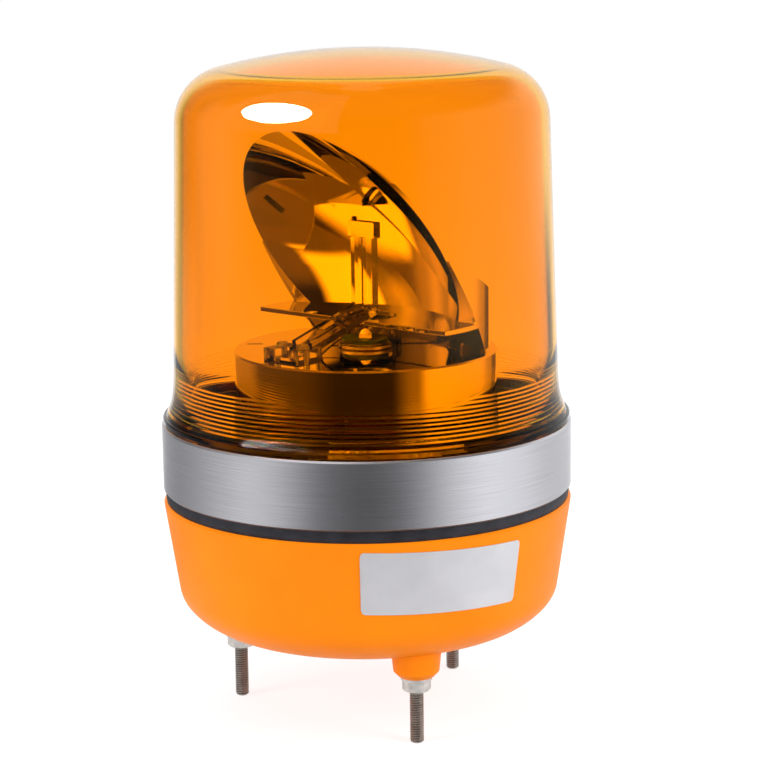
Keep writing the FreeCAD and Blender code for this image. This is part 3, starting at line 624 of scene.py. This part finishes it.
def make_ledge():
    """Shelf across the hood at the foot of the mirror, open round the lamp."""
    start = math.acos(LEDGE_FRONT / LAMP_HOLE_R)
    corner = math.acos(LEDGE_FRONT / HOOD_R)
    front_steps, round_steps = 10, 120
    angles = [start + (corner - start) * i / front_steps for i in range(front_steps)]
    angles += [corner + (2 * math.pi - 2 * corner) * i / round_steps for i in range(round_steps + 1)]
    angles += [2 * math.pi - a for a in reversed(angles[:front_steps])]
    grids = []
    for z in (LEDGE_LIFT, LEDGE_LIFT + LEDGE_T):
        grid = []
        for share in (0.0, 1.0):
            row = []
            for angle in angles:
                outer = HOOD_R
                if math.cos(angle) > LEDGE_FRONT / HOOD_R:
                    outer = LEDGE_FRONT / math.cos(angle)
                radius = LAMP_HOLE_R + (outer - LAMP_HOLE_R) * share
                row.append((radius * math.cos(angle), radius * math.sin(angle), z))
            grid.append(row)
        grids.append(grid)
    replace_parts(sheet("hood_ledge", grids[0], grids[1], "mirror_plastic", "rotor"), "reflector")


def make_feet():
    steps = 8
    for index, degrees in enumerate(FOOT_ANGLES):
        turn = Matrix.Rotation(math.radians(degrees), 4, "Z")
        grids = []
        for z in (0.0, FOOT_T):
            grid = []
            for share in (0.0, 1.0):
                row = []
                for j in range(steps + 1):
                    y = FOOT_WIDTH * (j / steps - 0.5)
                    x = HOOD_R - FOOT_DEPTH if share == 0.0 else math.sqrt(HOOD_R ** 2 - y * y)
                    row.append((x, y, z))
                grid.append(row)
            grids.append(grid)
        made = sheet("hood_foot_%d" % (index + 1), grids[0], grids[1], "mirror_plastic", "rotor",
                     0.3 * MM, BEAM @ turn)
        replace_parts(made, "reflector")


def make_hood():
    make_mirror()
    reach = make_skirt()
    make_flanges((reach - RIM_FOOT) / RIM_LEAN)
    make_ledge()
    make_feet()


# ---------------------------------------------------------------- bare plate on the base
PLATE_START = -1.9          # degrees round from the front
PLATE_END = 45.6
PLATE_SLANT = 0.033         # rise per length: it is stuck on a little askew
PLATE_BACK = 0.02 * MM      # from the base's surface to the plate's back
PLATE_FACE = 0.25 * MM      # and to its face
PLATE_ROUND = 1.2 * MM
BASE_R = 59.0 * MM
BASE_LOW_R = 55.15 * MM
BASE_RIM_EDGE = 0.7 * MM
BASE_RIM = RING_LOW - 3.3 * MM      # where the gasket lies on the base
PLATE_TOP = BASE_RIM - 3.1 * MM
PLATE_LOW = BASE_RIM - 21.1 * MM
CORNER_TOP = RING_LOW - 29.5 * MM


def base_radius(height):
    rim = BASE_RIM - BASE_RIM_EDGE
    return BASE_LOW_R + (BASE_R - BASE_LOW_R) * (height - CORNER_TOP) / (rim - CORNER_TOP)


def make_plate():
    """Thin bare plate with rounded corners, bent round the side of the base."""
    columns, rows = 48, 14
    middle_z = (PLATE_TOP + PLATE_LOW) / 2
    mean_r = base_radius(middle_z)
    width = math.radians(PLATE_END - PLATE_START) * mean_r
    height = PLATE_TOP - PLATE_LOW
    straight_w, straight_h = width / 2 - PLATE_ROUND, height / 2 - PLATE_ROUND
    grids = []
    for layer in (PLATE_BACK, PLATE_FACE):
        grid = []
        for row in range(rows + 1):
            line = []
            for column in range(columns + 1):
                x = -width / 2 + width * column / columns
                y = -height / 2 + height * row / rows
                corner_x = max(0.0, abs(x) - straight_w)
                corner_y = max(0.0, abs(y) - straight_h)
                reach = math.hypot(corner_x, corner_y)
                if reach > PLATE_ROUND:
                    x = math.copysign(straight_w + corner_x * PLATE_ROUND / reach, x)
                    y = math.copysign(straight_h + corner_y * PLATE_ROUND / reach, y)
                z = middle_z + y - PLATE_SLANT * x
                angle = math.radians((PLATE_START + PLATE_END) / 2) + x / mean_r
                radius = base_radius(z) + layer
                line.append((radius * math.sin(angle), -radius * math.cos(angle), z))
            grid.append(line)
        grids.append(grid)
    sheet("bare_plate", grids[0], grids[1], "label_silver", "base", 0.0, Matrix.Identity(4))


# ---------------------------------------------------------------- CAD nodes that keep their shape
def dress_nodes():
    slots = {entry["node"]: entry["material_slot"] for entry in frame["record"]["subparts"]}
    for name, node in NODE.items():
        node.data.materials.clear()
        node.data.materials.append(MATERIAL[slots[name]])


# ---------------------------------------------------------------- floor, cards and world
FLOOR_REACH = 6.0
FLOOR_COLOR = 0.72          # what the floor gives to matt surfaces
FLOOR_SHADOW = 0.35         # the share of the floor, as seen, that shadows darken
FLOOR_GLOW = 0.78           # and the share that they leave
WORLD_LEVEL = 0.66          # what the world gives to matt surfaces
CARD_R = 0.42
CARD_FOOT_R = 0.125         # the cards run in along the floor as far as this
CARD_LIFT = 0.5 * MM        # of the cards off the floor
CARD_EYE = 0.07             # height from which elevations are measured
CARD_START = -150           # degrees round from the front towards +X
CARD_END = 150
CARD_STEP = 5
CARD_RISE_STEP = 6
LOW_CARDS = [               # degrees round and brightness, below the horizon
    (-165, 1.00), (-140, 0.50), (-120, 0.36), (-100, 0.46), (-82, 0.66), (-62, 0.95), (-45, 0.75),
    (-34, 0.45), (-22, 0.19), (0, 0.11), (18, 0.18), (30, 0.45), (45, 0.90), (62, 1.25), (85, 1.10),
    (110, 0.80), (150, 0.90)]
INNER_CARDS = [             # the same, as the mirrors inside the globe show them
    (-165, 0.60), (-140, 0.55), (-118, 0.50), (-95, 0.12), (-60, 0.10), (-20, 0.03), (20, 0.03),
    (42, 0.35), (55, 1.30), (110, 1.20), (132, 0.60), (140, 0.15), (150, 0.10)]
HIGH_CARDS = [              # above the horizon
    (-165, 0.95), (-148, 0.80), (-136, 0.25), (-118, 0.12), (-102, 0.60), (-85, 1.00), (-72, 0.60),
    (-60, 0.20), (-20, 0.03), (20, 0.08), (45, 0.80), (62, 1.20), (90, 1.15), (150, 1.00)]
ROOF = 0.22                 # brightness of the cards overhead
SOFTBOX = 2.5               # brightness of the soft panel that the mirror shows
HORIZON_RISE = (-4, 6, 170, 175)         # degrees up: fade in from, to, fade out from, to
ROOF_RISE = (32, 46, 170, 175)
SOFTBOX_TURN = (-67, -60, -26, -19)
SOFTBOX_RISE = (22, 28, 54, 60)
GAP_TURN = (-92, -90, -14, -12)          # open here for the lamp that glints on the globe
GAP_RISE = (14, 15, 75, 76)


def seen(nodes, links):
    """1 for the camera, for metal and for glass, which all see the white background."""
    rays = nodes.new("ShaderNodeLightPath").outputs
    either = arithmetic(nodes, links, "MAXIMUM", rays["Is Glossy Ray"], rays["Is Transmission Ray"])
    return arithmetic(nodes, links, "MAXIMUM", rays["Is Camera Ray"], either)


def staged(name, vertices, faces, shader, place=(0.0, 0.0, 0.0)):
    """A staged mesh with a material that the shader function fills."""
    mesh = bpy.data.meshes.new(name)
    mesh.from_pydata(vertices, [], faces)
    material = bpy.data.materials.new(name)
    material.use_nodes = True
    nodes, links = material.node_tree.nodes, material.node_tree.links
    nodes.clear()
    output = nodes.new("ShaderNodeOutputMaterial")
    links.new(shader(nodes, links), output.inputs["Surface"])
    mesh.materials.append(material)
    made = bpy.data.objects.new(name, mesh)
    made.location = place
    bpy.context.scene.collection.objects.link(made)


def floor_shader(nodes, links):
    """White to the eye, to metal and to glass with the object's shadow on it, plain to the rest."""
    plain = nodes.new("ShaderNodeBsdfDiffuse")
    plain.inputs["Color"].default_value = grey(FLOOR_COLOR)
    shown = nodes.new("ShaderNodeBsdfDiffuse")
    shown.inputs["Color"].default_value = grey(FLOOR_SHADOW)
    glow = nodes.new("ShaderNodeEmission")
    glow.inputs["Strength"].default_value = FLOOR_GLOW
    bright = nodes.new("ShaderNodeAddShader")
    links.new(shown.outputs[0], bright.inputs[0])
    links.new(glow.outputs[0], bright.inputs[1])
    return mixed_shader(nodes, links, seen(nodes, links), plain.outputs[0], bright.outputs[0])


def make_floor():
    reach = FLOOR_REACH
    corners = [(-reach, -reach), (reach, -reach), (reach, reach), (-reach, reach)]
    staged("floor", [(x, y, FLOOR_Z) for x, y in corners], [(0, 1, 2, 3)], floor_shader)


def between(nodes, links, value, edges):
    """1 between the second and third edge, 0 outside the first and fourth, smooth between."""
    shares = []
    for low, high, start, end in ((edges[0], edges[1], 0.0, 1.0), (edges[2], edges[3], 1.0, 0.0)):
        ramp = nodes.new("ShaderNodeMapRange")
        ramp.interpolation_type = "SMOOTHSTEP"
        ramp.inputs["From Min"].default_value = math.radians(low)
        ramp.inputs["From Max"].default_value = math.radians(high)
        ramp.inputs["To Min"].default_value = start
        ramp.inputs["To Max"].default_value = end
        links.new(value, ramp.inputs["Value"])
        shares.append(ramp.outputs[0])
    return arithmetic(nodes, links, "MULTIPLY", *shares)


def greys(nodes, links, turn, stops):
    """Brightness by angle round the object."""
    share = nodes.new("ShaderNodeMapRange")
    share.inputs["From Min"].default_value = -math.pi
    share.inputs["From Max"].default_value = math.pi
    links.new(turn, share.inputs["Value"])
    made = nodes.new("ShaderNodeValToRGB")
    made.color_ramp.interpolation = "EASE"
    ramp = made.color_ramp.elements
    for stop, (degrees, level) in zip((ramp[0], ramp[1]), (stops[0], stops[-1])):
        stop.position = (degrees + 180) / 360
        stop.color = grey(level)
    for degrees, level in stops[1:-1]:
        ramp.new((degrees + 180) / 360).color = grey(level)
    links.new(share.outputs[0], made.inputs["Fac"])
    return made.outputs["Color"]


def card_shader(nodes, links):
    """Grey cards that only reflections show: clear to the eye, through glass, to matt faces and lamps."""
    rays = nodes.new("ShaderNodeLightPath").outputs
    inner = rays["Is Transmission Ray"]
    place = nodes.new("ShaderNodeTexCoord")
    split = nodes.new("ShaderNodeSeparateXYZ")
    links.new(place.outputs["Object"], split.inputs[0])
    x, y, z = split.outputs
    ahead = arithmetic(nodes, links, "MULTIPLY", y, -1.0)
    turn = arithmetic(nodes, links, "ARCTAN2", x, ahead)
    squares = [arithmetic(nodes, links, "MULTIPLY", side, side) for side in (x, y)]
    out = arithmetic(nodes, links, "SQRT", arithmetic(nodes, links, "ADD", *squares))
    rise = arithmetic(nodes, links, "ARCTAN2", z, out)

    low, inside, high = (greys(nodes, links, turn, stops) for stops in (LOW_CARDS, INNER_CARDS, HIGH_CARDS))
    low = mixed_color(nodes, links, inner, low, inside)
    walls = mixed_color(nodes, links, between(nodes, links, rise, HORIZON_RISE), low, high)
    room = mixed_color(nodes, links, between(nodes, links, rise, ROOF_RISE), walls, grey(ROOF))
    panel = arithmetic(nodes, links, "MULTIPLY", between(nodes, links, turn, SOFTBOX_TURN),
                       between(nodes, links, rise, SOFTBOX_RISE))
    card = nodes.new("ShaderNodeEmission")
    links.new(mixed_color(nodes, links, panel, room, grey(SOFTBOX)), card.inputs["Color"])

    clear = nodes.new("ShaderNodeBsdfTransparent")
    mirrored = arithmetic(nodes, links, "GREATER_THAN", rays["Glossy Depth"], 0.5)
    shown = arithmetic(nodes, links, "SUBTRACT", mirrored, rays["Is Shadow Ray"])
    gap = arithmetic(nodes, links, "MULTIPLY", between(nodes, links, turn, GAP_TURN),
                     between(nodes, links, rise, GAP_RISE))
    opened = arithmetic(nodes, links, "MULTIPLY", gap, arithmetic(nodes, links, "SUBTRACT", 1.0, inner))
    solid = arithmetic(nodes, links, "SUBTRACT", shown, opened)
    return mixed_shader(nodes, links, arithmetic(nodes, links, "MAXIMUM", solid, 0.0),
                        clear.outputs[0], card.outputs[0])


def make_cards():
    """Grey cards round and over the object, open behind it, for metal and glass to reflect."""
    ground = FLOOR_Z - CARD_EYE + CARD_LIFT
    section = [(CARD_FOOT_R, ground), (CARD_R, ground)]
    for degrees in range(0, 90, CARD_RISE_STEP):
        section.append((CARD_R * math.cos(math.radians(degrees)), CARD_R * math.sin(math.radians(degrees))))
    turns = range(CARD_START, CARD_END + 1, CARD_STEP)
    vertices = [(out * math.sin(math.radians(turn)), -out * math.cos(math.radians(turn)), high)
                for turn in turns for out, high in section]
    rows = len(section)
    faces = [(i * rows + k, (i + 1) * rows + k, (i + 1) * rows + k + 1, i * rows + k + 1)
             for i in range(len(turns) - 1) for k in range(rows - 1)]
    staged("studio_cards", vertices, faces, card_shader, (0.0, 0.0, CARD_EYE))


def make_world():
    """White to the eye, to metal and to glass; a plain soft light to everything else."""
    world = bpy.data.worlds.new("studio")
    bpy.context.scene.world = world
    world.use_nodes = True
    nodes, links = world.node_tree.nodes, world.node_tree.links
    nodes.clear()
    levels = []
    for strength in (WORLD_LEVEL, 1.0):
        level = nodes.new("ShaderNodeBackground")
        level.inputs["Strength"].default_value = strength
        level.inputs["Color"].default_value = WHITE
        levels.append(level.outputs[0])
    output = nodes.new("ShaderNodeOutputWorld")
    links.new(mixed_shader(nodes, links, seen(nodes, links), *levels), output.inputs["Surface"])


# ---------------------------------------------------------------- lamps
LAMP_TARGET = Vector((0.0, 0.0, 0.07))
GLINT_POINT = Vector((-0.0216, -0.0474, 0.1618))    # on the globe's shoulder
GLINT_TURN = math.radians(-61)
GLINT_RISE = math.radians(35)
GLINT_WIDTH = 0.82
GLINT_HEIGHT = 0.64
GLINT_POWER = 200.0         # watts, for the globe's reflection alone
SOFT_LAMPS = [              # name, place, width, height, watts
    ("key_right", (0.9, -0.55, 0.5), 0.5, 0.9, 7.0),
    ("fill_left", (-1.0, -0.5, 0.35), 0.4, 0.9, 7.0),
    ("top_soft", (-0.1, 0.1, 1.2), 0.8, 0.8, 5.0)]


def area_light(name, place, target, width, height, power, shape="RECTANGLE"):
    data = bpy.data.lights.new(name, "AREA")
    data.shape = shape
    data.size = width
    data.size_y = height
    data.energy = power
    lamp = bpy.data.objects.new(name, data)
    lamp.location = place
    lamp.rotation_euler = (target - Vector(place)).to_track_quat("-Z", "Y").to_euler()
    bpy.context.scene.collection.objects.link(lamp)
    return lamp


def make_lights(globe):
    for name, place, width, height, power in SOFT_LAMPS:
        lamp = area_light(name, place, LAMP_TARGET, width, height, power)
        lamp.visible_glossy = False
        lamp.visible_transmission = False
    level = math.cos(GLINT_RISE)
    towards = Vector((level * math.sin(GLINT_TURN), -level * math.cos(GLINT_TURN), math.sin(GLINT_RISE)))
    glint = area_light("dome_glint", GLINT_POINT + towards, GLINT_POINT, GLINT_WIDTH, GLINT_HEIGHT,
                       GLINT_POWER, "ELLIPSE")
    glint.visible_diffuse = False
    glint.visible_transmission = False
    lit = bpy.data.collections.new("glint_on_globe")
    lit.objects.link(globe)
    glint.light_linking.receiver_collection = lit


# ---------------------------------------------------------------- run
make_camera()
dress_nodes()
globe_shell = make_globe()
make_hood()
make_studs()
make_plate()
make_floor()
make_cards()
make_world()
make_lights(globe_shell)
bpy.context.scene.view_settings.view_transform = "Standard"
